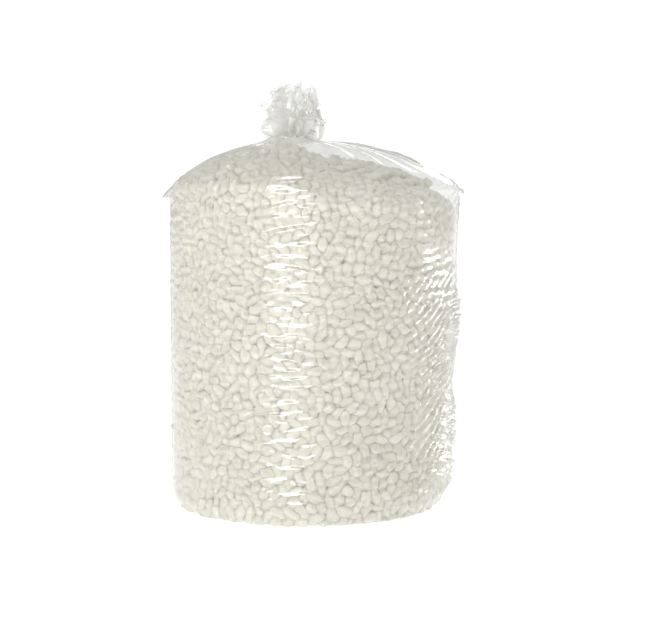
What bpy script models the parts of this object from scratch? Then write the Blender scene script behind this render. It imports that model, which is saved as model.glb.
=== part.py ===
"""Clear film bag of foam packing peanuts, gathered at the neck and closed with a wire tie.

The bag is a lay-flat tube of thin polyethylene: it keeps an edge crease down its left and its
right side, each ending in a small pointed ear at the shoulder.  Above the shoulder the film
gathers into pleats that run up to the neck, and above the tie its loose end opens in a ruffle.
Inside stands the mass of peanuts, with a mound of loose ones on its lower right half.

Metres, +Z up.  The origin is the middle of the flat floor face; the front looks to -Y.
"""

import math
import random

import bmesh
import bpy
from mathutils import Matrix, Vector
from mathutils.bvhtree import BVHTree
from mathutils.geometry import delaunay_2d_cdt

# Body of the bag
BASE_RADIUS = 0.287
SHOULDER_RADIUS = 0.300
SHOULDER_HEIGHT = 0.665
SHOULDER_LEAN = 0.013
DOME_RISE = 0.103
FLOOR_ROUND = 0.034
FILM_THICKNESS = 0.00005

# Neck and the ruffle above it
NECK_RADIUS = 0.0145
NECK_OFFSET = -0.023
NECK_RISE = 0.008
NECK_LENGTH = 0.007
PLEAT_DEPTH = 0.0055
RUFFLE_HEIGHT = 0.116
RUFFLE_RADIUS = 0.062
RUFFLE_DEPTH = 0.026

# Folds that stand out from the smooth body
GATHER_HEIGHT = 0.010
SLACK_DEPTH = 0.006
EDGE_CREASE = 0.005
EAR_LENGTH = 0.017

# Wire tie
TIE_WIRE = 0.0018
TIE_TAIL = 0.034
TIE_TURNS = 3.5

# Foam peanuts
PEANUT_LENGTH = 0.035
PEANUT_WIDTH = 0.0245
LUMP_PITCH = 0.046
LUMP_DEPTH = 0.009
HEAP_DROP = 0.050
HEAP_RUN = 0.150
CLEARANCE = 0.0003
LOOSE_COUNT = 46

# Fineness of the film's grid and of the peanuts
FILM_SIDES = 48
WALL_RINGS = 11
PEANUT_SIDES = 6

DOME_POWER = 1.5
CREASE_SIDES = (0, FILM_SIDES // 2)
WALL_TOP = 0.94 * SHOULDER_HEIGHT
NECK_FOOT = SHOULDER_HEIGHT + DOME_RISE
NECK_TOP = NECK_FOOT + NECK_RISE + NECK_LENGTH


def smooth_step(value):
    value = min(max(value, 0.0), 1.0)
    return value * value * (3.0 - 2.0 * value)


class Ring:
    """One level of the film: a circle that leans with the body, and its folds' direction."""

    def __init__(self, radius, height, centre, out, up):
        self.radius = radius
        self.height = height
        self.centre = centre
        length = math.hypot(out, up)
        self.out = out / length
        self.up = up / length

    def point(self, side, fold=0.0):
        angle = 2.0 * math.pi * side / FILM_SIDES
        reach = self.radius + fold * self.out
        return Vector((
            self.centre + reach * math.cos(angle),
            reach * math.sin(angle),
            self.height + fold * self.up,
        ))


def floor_rings():
    """The flat floor face and the round that leads up into the wall."""
    flat = BASE_RADIUS - FLOOR_ROUND
    rings = [Ring(flat * 0.5, 0.0, 0.0, 0.0, -1.0), Ring(flat, 0.0, 0.0, 0.0, -1.0)]
    for turn in (30, 60, 90):
        angle = math.radians(turn)
        out, up = math.sin(angle), -math.cos(angle)
        rings.append(Ring(flat + FLOOR_ROUND * out, FLOOR_ROUND * (1.0 + up), 0.0, out, up))
    return rings


def wall_rings():
    """The nearly upright wall, which widens and leans a little towards the shoulder."""
    rings = []
    for step in range(1, WALL_RINGS + 1):
        height = FLOOR_ROUND + (WALL_TOP - FLOOR_ROUND) * step / WALL_RINGS
        share = (height - FLOOR_ROUND) / (SHOULDER_HEIGHT - FLOOR_ROUND)
        radius = BASE_RADIUS + (SHOULDER_RADIUS - BASE_RADIUS) * share
        rings.append(Ring(radius, height, SHOULDER_LEAN * share, 1.0, 0.0))
    return rings


def dome_rings():
    """The dome from the shoulder to the foot of the neck."""
    rings = []
    for turn in (0, 14, 27, 40, 53, 66, 78):
        angle = math.radians(turn)
        share = math.cos(angle)
        centre = NECK_OFFSET + (SHOULDER_LEAN - NECK_OFFSET) * share
        height = SHOULDER_HEIGHT + DOME_RISE * math.sin(angle) ** DOME_POWER
        slope = DOME_POWER * DOME_RISE * math.sqrt(math.sin(angle)) * math.cos(angle)
        run = SHOULDER_RADIUS * math.sin(angle)
        rings.append(Ring(SHOULDER_RADIUS * share, height, centre, slope, run) if turn
                     else Ring(SHOULDER_RADIUS, height, centre, 1.0, 0.0))
    return rings


def body_rings():
    return floor_rings() + wall_rings() + dome_rings()


def gather(ring, side, strength):
    """How far a pleat of the gathered dome stands out, growing towards the neck."""
    share = smooth_step((ring.height - WALL_TOP) / (NECK_FOOT - WALL_TOP))
    return (1.0 - side % 2) * strength * share * GATHER_HEIGHT


def slack(ring, side):
    """Loose film on the wall: bulges between level creases, deeper on the right side."""
    if ring.height <= FLOOR_ROUND or ring.height >= SHOULDER_HEIGHT:
        return 0.0
    angle = 2.0 * math.pi * side / FILM_SIDES
    level = WALL_RINGS * (ring.height - FLOOR_ROUND) / (WALL_TOP - FLOOR_ROUND)
    right = 0.5 + 0.5 * smooth_step(math.cos(angle))
    turn = math.pi * level + 1.5 * math.sin(2.0 * angle + 0.9 * level)
    return SLACK_DEPTH * right * (0.5 + 0.5 * math.cos(turn))


def crease(ring, side):
    """The tube's edge creases, and the ear in which each ends at the shoulder."""
    if side not in CREASE_SIDES or ring.height < FLOOR_ROUND:
        return 0.0
    near = 1.0 - abs(ring.height - SHOULDER_HEIGHT) / (SHOULDER_HEIGHT - WALL_TOP)
    fade = 1.0 - smooth_step((ring.height - SHOULDER_HEIGHT) / DOME_RISE)
    return EDGE_CREASE * fade + (EAR_LENGTH - EDGE_CREASE) * max(near, 0.0)


def neck_points(strengths):
    """Rings of points from the foot of the neck through the tie's seat to the ruffle's rim."""
    levels = []
    seat_foot = NECK_FOOT + NECK_RISE
    for share, height in ((1.9, NECK_FOOT + 0.35 * NECK_RISE), (1.0, seat_foot), (1.0, NECK_TOP)):
        levels.append((NECK_RADIUS * share, height, PLEAT_DEPTH * share, 0.0))
    for rise, width, depth in ((0.05, 0.70, 0.5), (0.20, 1.0, 0.85), (0.46, 0.92, 1.0),
                               (0.74, 0.70, 0.85), (1.0, 0.44, 0.5)):
        levels.append((RUFFLE_RADIUS * width, NECK_TOP + RUFFLE_HEIGHT * rise,
                       RUFFLE_DEPTH * depth, rise))
    rows = []
    for radius, height, depth, rise in levels:
        row = []
        for side in range(FILM_SIDES):
            angle = 2.0 * math.pi * side / FILM_SIDES
            pinch = depth * (side % 2) * (0.6 + 0.4 * strengths[side] * (rise > 0.0))
            lobe = 0.14 * math.sin(3.0 * angle + 5.0 * rise) + 0.08 * math.sin(7.0 * angle - 9.0 * rise)
            reach = radius - pinch + lobe * radius * min(1.0, 3.0 * rise)
            drop = rise * rise * RUFFLE_DEPTH * 0.6 * (1.0 - strengths[side])
            row.append(Vector((NECK_OFFSET + reach * math.cos(angle),
                               reach * math.sin(angle), height - drop)))
        rows.append(row)
    return rows


def grid_faces(rows):
    faces = [tuple(reversed(range(FILM_SIDES)))]
    for row in range(rows - 1):
        for side in range(FILM_SIDES):
            after = (side + 1) % FILM_SIDES
            low, high = row * FILM_SIDES, (row + 1) * FILM_SIDES
            faces.append((low + side, low + after, high + after, high + side))
    return faces


def mesh_from(name, points, faces):
    mesh = bpy.data.meshes.new(name)
    mesh.from_pydata([tuple(point) for point in points], [], faces)
    work = bmesh.new()
    work.from_mesh(mesh)
    bmesh.ops.recalc_face_normals(work, faces=work.faces)
    work.to_mesh(mesh)
    work.free()
    return mesh


def plain_body():
    """The film's body without its folds, capped at the neck: no peanut passes it."""
    rings = body_rings()
    points = [ring.point(side) for ring in rings for side in range(FILM_SIDES)]
    faces = grid_faces(len(rings))
    last = (len(rings) - 1) * FILM_SIDES
    faces.append(tuple(range(last, last + FILM_SIDES)))
    triangles = []
    for face in faces:
        for corner in range(1, len(face) - 1):
            triangles.append((face[0], face[corner], face[corner + 1]))
    return BVHTree.FromPolygons(points, triangles)


def film_mesh():
    """The whole film surface, floor face to ruffle rim, with its folds."""
    rng = random.Random(5)
    strengths = [rng.uniform(0.25, 1.0) for side in range(FILM_SIDES)]
    points = []
    rings = body_rings()
    for ring in rings:
        for side in range(FILM_SIDES):
            fold = gather(ring, side, strengths[side]) + slack(ring, side) + crease(ring, side)
            points.append(ring.point(side, fold))
    neck = neck_points(strengths)
    for row in neck:
        points.extend(row)
    return mesh_from("film_bag", points, grid_faces(len(rings) + len(neck)))


def inside(body, point):
    """The point moved in, where needed, to its clearance from the film's body."""
    needed = CLEARANCE + 2.0 * FILM_THICKNESS
    for _ in range(4):
        near, normal, _, _ = body.find_nearest(point)
        depth = (near - point).dot(normal)
        if depth >= needed:
            break
        point = point + (depth - needed) * normal
    return point


def heap_drop(across):
    """How far the heap lies below the dome: nothing on the left, the full drop on the right."""
    return HEAP_DROP * smooth_step(0.5 + across / HEAP_RUN)


def film_height(body, across, along):
    hit = body.ray_cast(Vector((across, along, FLOOR_ROUND)), Vector((0.0, 0.0, 1.0)))[0]
    return hit.z if hit else SHOULDER_HEIGHT


def is_crest(column, row):
    """Every third site of the staggered lattice carries a lump, so each has six valleys."""
    return (column - row // 2 - row) % 3 == 0


def fill_wall(body, rng, spacing):
    """Rows of sites up the wall, from the floor to the edge of the heap."""
    columns = 3 * round(2.0 * math.pi * SHOULDER_RADIUS / (3.0 * spacing))
    rise = spacing * math.sqrt(3.0) / 2.0
    rows = max(4, round((SHOULDER_HEIGHT - FLOOR_ROUND) / rise))
    flat = math.cos(math.pi / FILM_SIDES)
    points, floor = [], CLEARANCE + FILM_THICKNESS
    for row in range(rows + 1):
        for column in range(columns):
            angle = 2.0 * math.pi * (column + 0.5 * (row % 2)) / columns
            angle += rng.uniform(-0.16, 0.16) * 2.0 * math.pi / columns
            top = SHOULDER_HEIGHT - heap_drop(SHOULDER_RADIUS * math.cos(angle))
            share = row / rows
            height = FLOOR_ROUND * 0.55 + (top - FLOOR_ROUND * 0.55) * share
            height += rng.uniform(-0.16, 0.16) * rise * (0 < row < rows)
            lean = (height - FLOOR_ROUND) / (SHOULDER_HEIGHT - FLOOR_ROUND)
            radius = BASE_RADIUS + (SHOULDER_RADIUS - BASE_RADIUS) * lean
            sink = 0.0 if is_crest(column, row) else LUMP_DEPTH * rng.uniform(0.7, 1.1)
            reach = radius * flat - sink
            point = Vector((SHOULDER_LEAN * lean + reach * math.cos(angle),
                            reach * math.sin(angle), height))
            points.append(inside(body, point))
    ground = []
    for column in range(columns):
        angle = 2.0 * math.pi * column / columns
        reach = (BASE_RADIUS - FLOOR_ROUND) * flat - LUMP_DEPTH * (column % 2)
        ground.append(Vector((reach * math.cos(angle), reach * math.sin(angle), floor)))
    return ground + points, columns, rows


def fill_faces(columns, rows):
    """The floor face, the foot between it and the lowest row, and the staggered wall."""
    faces = [tuple(reversed(range(columns)))]
    for column in range(columns):
        after = (column + 1) % columns
        low, high = 0, columns
        faces.append((low + column, low + after, high + column))
        faces.append((low + after, high + after, high + column))
    for row in range(rows):
        low, high = (row + 1) * columns, (row + 2) * columns
        for column in range(columns):
            after = (column + 1) % columns
            if row % 2:
                faces.append((low + column, low + after, high + after))
                faces.append((low + column, high + after, high + column))
            else:
                faces.append((low + column, low + after, high + column))
                faces.append((low + after, high + after, high + column))
    return faces


def fill_top(body, rng, spacing, edge):
    """Sites of the heap inside the edge of the wall, and the faces that join them to it."""
    flat_edge = [Vector((point.x, point.y)) for point in edge]
    centre = sum(flat_edge, Vector((0.0, 0.0))) / len(flat_edge)
    reach = min((point - centre).length for point in flat_edge) - 0.8 * spacing
    rise = spacing * math.sqrt(3.0) / 2.0
    span = int(SHOULDER_RADIUS / rise) + 2
    sites, raised = [], []
    for row in range(-span, span + 1):
        for column in range(-span, span + 1):
            across = centre.x + spacing * (column + 0.5 * (row % 2))
            along = centre.y + rise * row
            if math.hypot(across - centre.x, along - centre.y) > reach:
                continue
            across += rng.uniform(-0.16, 0.16) * spacing
            along += rng.uniform(-0.16, 0.16) * spacing
            sink = 0.0 if is_crest(column, row) else LUMP_DEPTH * rng.uniform(0.7, 1.1)
            height = film_height(body, across, along) - heap_drop(across) - sink
            sites.append(Vector((across, along)))
            raised.append(inside(body, Vector((across, along, height))))
    count = len(flat_edge)
    ring = [(index, (index + 1) % count) for index in range(count)]
    faces = delaunay_2d_cdt(flat_edge + sites, ring, [], 1, 1e-7)[2]
    return raised, faces


def fill_mesh(body):
    """The settled mass of peanuts as one solid: flat below, lumps on its wall and its heap."""
    rng = random.Random(11)
    spacing = LUMP_PITCH / math.sqrt(3.0)
    points, columns, rows = fill_wall(body, rng, spacing)
    faces = fill_faces(columns, rows)
    first = (rows + 1) * columns
    edge = points[first:first + columns]
    raised, top = fill_top(body, rng, spacing, edge)
    faces.extend(tuple(first + index for index in face) for face in top)
    return mesh_from("peanut_fill", points + raised, faces)


def peanut_points(waist, bend):
    """A foam peanut along X: two rounded ends, a waist between them and a bent middle line."""
    half = 0.5 * PEANUT_LENGTH
    points = [Vector((-half, 0.0, 0.0))]
    for place in (-0.82, -0.45, 0.0, 0.45, 0.82):
        round_end = (1.0 - abs(place) ** 3.2) ** 0.5
        radius = 0.5 * PEANUT_WIDTH * round_end * (1.0 - waist * math.cos(place * math.pi / 1.8) ** 4)
        offset = bend * PEANUT_WIDTH * math.sin(place * math.pi)
        for side in range(PEANUT_SIDES):
            angle = 2.0 * math.pi * side / PEANUT_SIDES
            points.append(Vector((half * place, offset + radius * math.cos(angle),
                                  radius * math.sin(angle))))
    points.append(Vector((half, 0.0, 0.0)))
    return points


def peanut_mesh(name, waist, bend):
    points = peanut_points(waist, bend)
    last = len(points) - 1
    faces = []
    for side in range(PEANUT_SIDES):
        after = (side + 1) % PEANUT_SIDES
        faces.append((0, 1 + after, 1 + side))
        faces.append((last, last - PEANUT_SIDES + side, last - PEANUT_SIDES + after))
        for ring in range(4):
            low = 1 + ring * PEANUT_SIDES
            faces.append((low + side, low + after,
                          low + PEANUT_SIDES + after, low + PEANUT_SIDES + side))
    return mesh_from(name, points, faces)


def loose_sites(body):
    """Places for the loose peanuts: a staggered field on the low side, nearest its middle first."""
    pitch = PEANUT_LENGTH * 1.06
    middle = Vector((0.5 * SHOULDER_RADIUS, 0.0))
    span = int(SHOULDER_RADIUS / pitch) + 2
    sites = []
    for row in range(-span, span + 1):
        for column in range(-span, span + 1):
            site = middle + pitch * Vector((column + 0.5 * (row % 2), row * math.sqrt(3.0) / 2.0))
            wall = BASE_RADIUS - PEANUT_LENGTH
            headroom = heap_drop(site.x - 0.5 * PEANUT_LENGTH)
            if site.length < wall and headroom > 1.6 * PEANUT_WIDTH:
                sites.append(site)
    sites.sort(key=lambda site: ((site - middle).length, site.x, site.y))
    return sites[:LOOSE_COUNT]


def surface_samples(mesh):
    """Points spread closely over a peanut's faces, to feel where it touches what is below."""
    mesh.calc_loop_triangles()
    samples = []
    for triangle in mesh.loop_triangles:
        a, b, c = (mesh.vertices[index].co for index in triangle.vertices)
        for i in range(5):
            for j in range(5 - i):
                samples.append(a * (i / 4.0) + b * (j / 4.0) + c * ((4 - i - j) / 4.0))
    return samples


def settle(surface, samples, site, turn, start):
    """Lower a turned peanut on to the heap until it has its clearance there."""
    down = Vector((0.0, 0.0, -1.0))
    shift = Vector((site.x, site.y, start))
    room = []
    for sample in samples:
        origin = turn @ sample + shift
        distance = surface.ray_cast(origin, down)[3]
        if distance is not None:
            room.append(distance)
    return start - (min(room) - 2.0 * CLEARANCE)


def tie_path():
    """The wire's middle line: in along the tail, once round the neck and out along the tail."""
    wrap = NECK_RADIUS + CLEARANCE + 0.5 * TIE_WIRE
    twist = 0.5 * TIE_WIRE + 0.5 * TIE_WIRE
    seat = NECK_TOP - 0.5 * NECK_LENGTH
    root = wrap + 2.0 * TIE_WIRE
    tail = []
    steps = 26
    for step in range(steps + 1):
        share = 1.0 - step / steps
        angle = 2.0 * math.pi * TIE_TURNS * share
        tail.append((root + TIE_TAIL * share, twist * math.cos(angle), twist * math.sin(angle)))
    start = math.asin(twist / wrap)
    loop = []
    turns = 24
    for step in range(1, turns):
        angle = start + (2.0 * math.pi - 2.0 * start) * step / turns
        loop.append((wrap * math.cos(angle), wrap * math.sin(angle), 0.0))
    leaving = [(along, -across, -height) for along, across, height in reversed(tail)]
    return [Vector((NECK_OFFSET - across, along, seat + height))
            for along, across, height in tail + loop + leaving]


def add_object(name, data, material, parent):
    item = bpy.data.objects.new(name, data)
    bpy.context.scene.collection.objects.link(item)
    item.parent = parent
    if data is not None and not data.materials:
        data.materials.append(material)
    return item


def add_material(name, colour, roughness, alpha=1.0):
    material = bpy.data.materials.new(name)
    material.use_nodes = True
    shader = material.node_tree.nodes["Principled BSDF"]
    shader.inputs["Base Color"].default_value = (*colour, 1.0)
    shader.inputs["Roughness"].default_value = roughness
    shader.inputs["Metallic"].default_value = 0.0
    shader.inputs["Alpha"].default_value = alpha
    return material


def add_film(parent):
    clear = add_material("clear_film", (0.90, 0.92, 0.93), 0.18, 0.35)
    film = add_object("film_bag", film_mesh(), clear, parent)
    wall = film.modifiers.new("film_wall", "SOLIDIFY")
    wall.thickness = FILM_THICKNESS
    wall.offset = -1.0
    wall.use_rim = True


def add_peanuts(parent):
    foam = add_material("peanut_foam", (0.84, 0.82, 0.75), 0.85)
    body = plain_body()
    fill = fill_mesh(body)
    add_object("peanut_fill", fill, foam, parent)
    surface = BVHTree.FromPolygons([vertex.co for vertex in fill.vertices],
                                   [tuple(face.vertices) for face in fill.polygons])
    forms = [peanut_mesh("peanut_waisted", 0.30, 0.0), peanut_mesh("peanut_s_form", 0.12, 0.16),
             peanut_mesh("peanut_plump", 0.05, 0.05)]
    samples = [surface_samples(form) for form in forms]
    rng = random.Random(23)
    for count, site in enumerate(loose_sites(body)):
        kind = count % len(forms)
        tilt = math.radians(rng.uniform(-18.0, 18.0))
        turn = Matrix.Rotation(rng.uniform(0.0, math.pi), 3, "Z") @ Matrix.Rotation(tilt, 3, "Y")
        height = settle(surface, samples[kind], site, turn, NECK_FOOT)
        peanut = add_object(f"peanut_{count + 1:02d}", forms[kind], foam, parent)
        peanut.location = (site.x, site.y, height)
        peanut.rotation_euler = turn.to_euler()


def add_tie(parent):
    plastic = add_material("tie_plastic", (0.88, 0.89, 0.88), 0.45)
    curve = bpy.data.curves.new("neck_tie", "CURVE")
    curve.dimensions = "3D"
    curve.bevel_depth = 0.5 * TIE_WIRE
    curve.bevel_resolution = 1
    curve.use_fill_caps = True
    points = tie_path()
    spline = curve.splines.new("POLY")
    spline.points.add(len(points) - 1)
    for place, point in zip(spline.points, points):
        place.co = (*point, 1.0)
    add_object("neck_tie", curve, plastic, parent)


def main():
    for item in list(bpy.data.objects):
        bpy.data.objects.remove(item, do_unlink=True)
    bag = bpy.data.objects.new("packing_peanut_bag", None)
    bpy.context.scene.collection.objects.link(bag)
    add_film(bag)
    add_peanuts(bag)
    add_tie(bag)


main()
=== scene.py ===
"""Looks of the packing peanut bag: clear film, foam peanuts, neck tie, studio."""

import math

import bmesh
import bpy
import numpy as np
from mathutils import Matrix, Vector
from mathutils.bvhtree import BVHTree


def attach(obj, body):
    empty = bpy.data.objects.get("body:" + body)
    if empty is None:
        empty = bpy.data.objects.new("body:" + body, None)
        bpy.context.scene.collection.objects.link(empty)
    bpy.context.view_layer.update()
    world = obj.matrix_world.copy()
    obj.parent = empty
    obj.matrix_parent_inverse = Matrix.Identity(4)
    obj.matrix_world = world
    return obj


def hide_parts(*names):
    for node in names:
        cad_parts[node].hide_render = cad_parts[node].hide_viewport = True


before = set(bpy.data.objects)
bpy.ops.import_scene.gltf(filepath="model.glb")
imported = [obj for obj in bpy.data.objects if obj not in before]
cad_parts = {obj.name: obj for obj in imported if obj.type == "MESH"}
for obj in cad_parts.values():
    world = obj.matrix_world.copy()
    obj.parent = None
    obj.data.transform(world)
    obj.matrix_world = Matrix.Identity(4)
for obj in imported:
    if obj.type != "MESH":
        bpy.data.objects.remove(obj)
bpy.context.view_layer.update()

# The body of the bag, as the solids have it, in metres
BASE_RADIUS = 0.287
SHOULDER_RADIUS = 0.300
SHOULDER_HEIGHT = 0.665
SHOULDER_LEAN = 0.013
DOME_RISE = 0.103
DOME_POWER = 0.75
FLOOR_ROUND = 0.034
NECK_OFFSET = -0.023
NECK_RADIUS = 0.0145
NECK_HEIGHT = 0.015
NECK_FOOT = SHOULDER_HEIGHT + DOME_RISE
NECK_TOP = NECK_FOOT + NECK_HEIGHT
EAR_LENGTH = 0.017

# The ruffle above the tie: how high it stands and how far it spreads
RUFFLE_SIDES = 400
RUFFLE_ROWS = 72
RUFFLE_SHAPE = (RUFFLE_ROWS, RUFFLE_SIDES)
RUFFLE_HEIGHT = 0.112
RUFFLE_LEFT = 0.098
RUFFLE_RIGHT = 0.070
RUFFLE_FRONT = 0.058
RUFFLE_LEAN = 0.009
# Its rim's drop to the left and right, and its raggedness, as shares of its height
RIM_DROP_LEFT = 0.30
RIM_DROP_RIGHT = 0.56
RIM_RAGGED = 0.20
# It opens from its foot and closes again towards its rim, less so on the left
OPENING_RUN = 0.26
CLOSING_START = 0.35
CLOSING_RUN = 0.6
CLOSING_DEPTH = 0.22
CLOSING_LESS_LEFT = 0.18
# Its pleats: their number, wander, fullness, twist, and the difference from one to the next
RUFFLE_PLEATS = 12
PLEAT_WANDER = 5.0
FOOT_WANDER = 0.3
PLEAT_POWER = 0.8
PLEAT_TWIST = 0.7
TWIST_RISE = 2.0
PLEAT_LEAST = 0.55
PLEAT_MORE = 0.45
BUNCH_LEAST = 0.8
BUNCH_MORE = 0.4
VALLEY_SHARE = 0.45
VALLEY_GROWTH = 0.020
VALLEY_RISE = 1.5
# Its lowest ridges sag over the tie
SAG_DEPTH = 0.022
SAG_MIDDLE = 0.16
SAG_SPREAD = 0.10
SAG_START = 0.06
SAG_LEAST = 0.3
# Its random fields, as all below: cells up the film and round it, then the seed
PLEAT_BEND_FIELD = ((3, 12), 41)
PLEAT_DEPTH_FIELD = ((2, 2 * RUFFLE_PLEATS), 42)
TWIST_FIELD = ((4, 10), 43)
RIM_FIELD = ((1, 14), 44)
BUNCH_FIELD = ((3, 5), 45)
SAG_FIELD = ((1, 9), 46)
# Its crumples: cells up the film, size and seed of each sort
CRUMPLES = ((6, 0.015, 51), (13, 0.006, 61), (28, 0.001, 71))
CRUMPLE_CELLS_ROUND = 6
CRUMPLE_RISE = 5.0

# Foam peanuts: packed size, and the size and lumps that they are drawn with
PEANUT_LENGTH = 0.0300
PEANUT_WIDTH = 0.0225
PEANUT_SWELL = 1.29
SIZE_SPREAD = 0.15
LUMP_HEIGHT = 0.0078
LUMP_SCALE = 95.0
PEANUT_SIDES = 7
PEANUT_RINGS = 8
TIP_SHARE = 0.03
END_POWER = 0.72
WAIST_POWER = 6.0
# Each piece's depth of waist and of bend, as shares of a peanut's width
FORMS = {"peanuts_waisted": (0.22, 0.03), "peanuts_s_form": (0.06, 0.13),
         "peanuts_plump": (0.03, 0.05), "peanuts_curved": (0.12, 0.09),
         "loose_peanuts": (0.16, 0.08)}

# The shell of peanuts under the film, and the heap's slope down to the right
SHELL_DEPTH = 0.044
SHELL_MARGIN = 0.004
HEAP_DROP = 0.040
HEAP_RUN = 0.150
FILM_GAP = 0.0028
FLOOR_GAP = 0.0008
PACKING = 0.80

# How the peanuts are packed
PACK_SEED = 31
FORM_SEED = 77
PACK_ROUNDS = 90
STILL_ROUNDS = 12
SEARCH_EVERY = 5
SEARCH_REACH = 1.18
CROWD_SHARE = 1.3
TURN_SHARE = 0.9
DRIFT = 0.0006

# The film's grid, and how it is drawn to its own lengths
FILM_SIDES = 240
ROW_STEP = 0.0029
HELD_ROWS = 9
HELD_RUFFLE_ROWS = 2
FLOOR_START = 0.06
FLOOR_STEPS = 60
ROUND_STEPS = 40
WALL_STEPS = 200
DOME_STEPS = 400
DOME_END = math.radians(80.0)
RING_LIMIT = 0.999
SLANTS = (1, -1)
LINK_PULL = 0.30
SLANT_PULL = 0.10
RELAX_SHARE = 0.8
FILM_EVENING = 0.01
RUFFLE_EVENING = 0.22
FILM_ROUNDS = 16
RUFFLE_ROUNDS = 20
FILM_CLEARANCE = 0.0006
FILM_LIFT = 0.0002

# Where the folds of the wall and the dome begin and end
FOLD_START = 0.01
FOLD_RUN = 0.05
DOME_EARLY = 0.6
UPPER_START = 0.50
UPPER_RUN = 0.10
SIDE_GAIN = 1.8
SIDE_CUT = 0.5

# Crossing wrinkles: turns round the bag, stretch of the pitch and seed of each set
WRINKLE_SETS = ((26, 1.0, 3), (-22, 1.25, 13), (5, 1.6, 23))
WRINKLE_HEIGHT = 0.0018
WRINKLE_PITCH = 0.018
WRINKLE_WANDER = 7.0
WRINKLE_SHIVER = 3.0
WRINKLE_CELLS = (16, 12)
SHIVER_CELLS = (44, 28)
PATCH_CELLS = (40, 22)
PATCH_GAIN = 1.8
PATCH_CUT = 0.05
LEFT_CALM = 0.6
RIGHT_CALM = 0.55
UPPER_CALM = 0.35
CLEAR_HEIGHT = 0.0035

# Slanted folds of the slack film on the right
SLACK_HEIGHT = 0.012
SLACK_PITCH = 0.050
SLACK_SLANT = 0.9
SLACK_POWER = 1.2
SLACK_WANDER = 9.0
SLACK_SHIVER = 2.5
SLACK_GAIN = 1.6
SLACK_CUT = 0.2
SLACK_FADE = 0.85
SLACK_SWAY = 0.7
SLACK_BASE = 0.15
SLACK_REACH = 0.9
EDGE_SOFTENING = 0.02
SLACK_BEND_FIELD = ((10, 10), 7)
SLACK_SHIVER_FIELD = ((26, 24), 17)
SLACK_DEPTH_FIELD = ((14, 14), 8)
SLACK_SWAY_FIELD = ((12, 12), 18)

# Pleats of the gathered dome, and the web of film beside the neck
GATHER_PLEATS = 34
GATHER_DEPTH = 0.16
GATHER_WANDER = 7.0
GATHER_POWER = 0.8
GATHER_LEAST = 0.25
GATHER_GROWTH = 2.4
GATHER_BEND_FIELD = ((3, 12), 9)
GATHER_DEPTH_FIELD = ((2, GATHER_PLEATS), 10)
WEB_HEIGHT = 0.011
WEB_RADIUS = 0.055
WEB_SPREAD = 0.025

# The flat tube's two edge creases and their ears
EDGE_CREASE = 0.004
EDGE_WIDTH = 0.016
EDGE_RUN = 0.03
EAR_DROP = 0.013
EAR_BELOW = 0.004
EAR_HALF_HEIGHT = 0.012

# How milky the film is
LEFT_HAZE = 0.22
FRONT_HAZE = 0.24
RIGHT_HAZE = 0.26
NECK_HAZE = 0.36
LEFT_HAZE_GAIN = 1.4
RIGHT_HAZE_GAIN = 2.6
RIGHT_HAZE_CUT = 1.4
GATHERED_RADIUS = 0.12

# Colours
WHITE = (1.0, 1.0, 1.0, 1.0)
FILM_TINT = (0.99, 0.99, 0.985, 1.0)
MILK_COLOUR = (0.94, 0.94, 0.91, 1.0)
FOAM_DARK = (0.572, 0.553, 0.470, 1.0)
FOAM_PALE = (0.652, 0.634, 0.552, 1.0)
FOAM_DEPTH = (0.8, 0.9, 1.0)
TIE_DARK = (0.78, 0.79, 0.78, 1.0)
TIE_PALE = (0.90, 0.90, 0.88, 1.0)
FLOOR_COLOUR = (0.9, 0.9, 0.9, 1.0)

# Shares of the film's gloss: face on, and what it gains towards its edges
GLOSS_SHARE = 0.10
EDGE_GLOSS = 0.7
EDGE_GLOSS_POWER = 4.0

# The studio; each light has a name, a place, an aim, a size and a power in watts
BAG_MIDDLE = (0.0, 0.0, 0.42)
LIGHTS = (("window", (-1.2, -3.6, 1.75), BAG_MIDDLE, (2.0, 1.7), 80.0),
          ("right_side", (2.6, 0.5, 0.12), (0.0, 0.0, 0.2), (0.9, 0.18), 12.0),
          ("overhead", (-0.35, -0.6, 2.6), (-0.1, -0.1, 0.7), (0.5, 0.35), 5.0),
          ("right_rim", (1.9, 1.6, 0.14), BAG_MIDDLE, (1.0, 0.24), 8.0),
          ("back_strip", (0.8, 3.4, 1.9), (0.0, 0.0, 0.8), (2.6, 0.8), 16.0))
BACKDROP_STRENGTH = 1.05
WORLD_STRENGTH = 0.55
FLOOR_HALF = 40.0
FLOOR_GLOW = 0.53

# The photograph's view
METRES_PER_PIXEL = 0.002128
IMAGE_WIDTH = 667
IMAGE_HEIGHT = 622
AXIS_COLUMN = 308.0
FLOOR_ROW = 502.5
SENSOR_WIDTH = 36.0
CAMERA_DISTANCE = 3.2
CAMERA_ELEVATION = math.radians(4.0)

# Steps and lengths too small to matter
SLOPE_STEP = 1e-3
MERGE_DISTANCE = 1e-5
SMALL = 1e-9
TINY = 1e-12


def smooth_step(value):
    """Eases from 0 to 1, level at both ends."""
    value = np.clip(value, 0.0, 1.0)
    return value * value * (3.0 - 2.0 * value)


def directions(sides):
    """Angles of points set evenly round the bag, from its right side towards its back."""
    return 2.0 * math.pi * np.arange(sides) / sides


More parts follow.
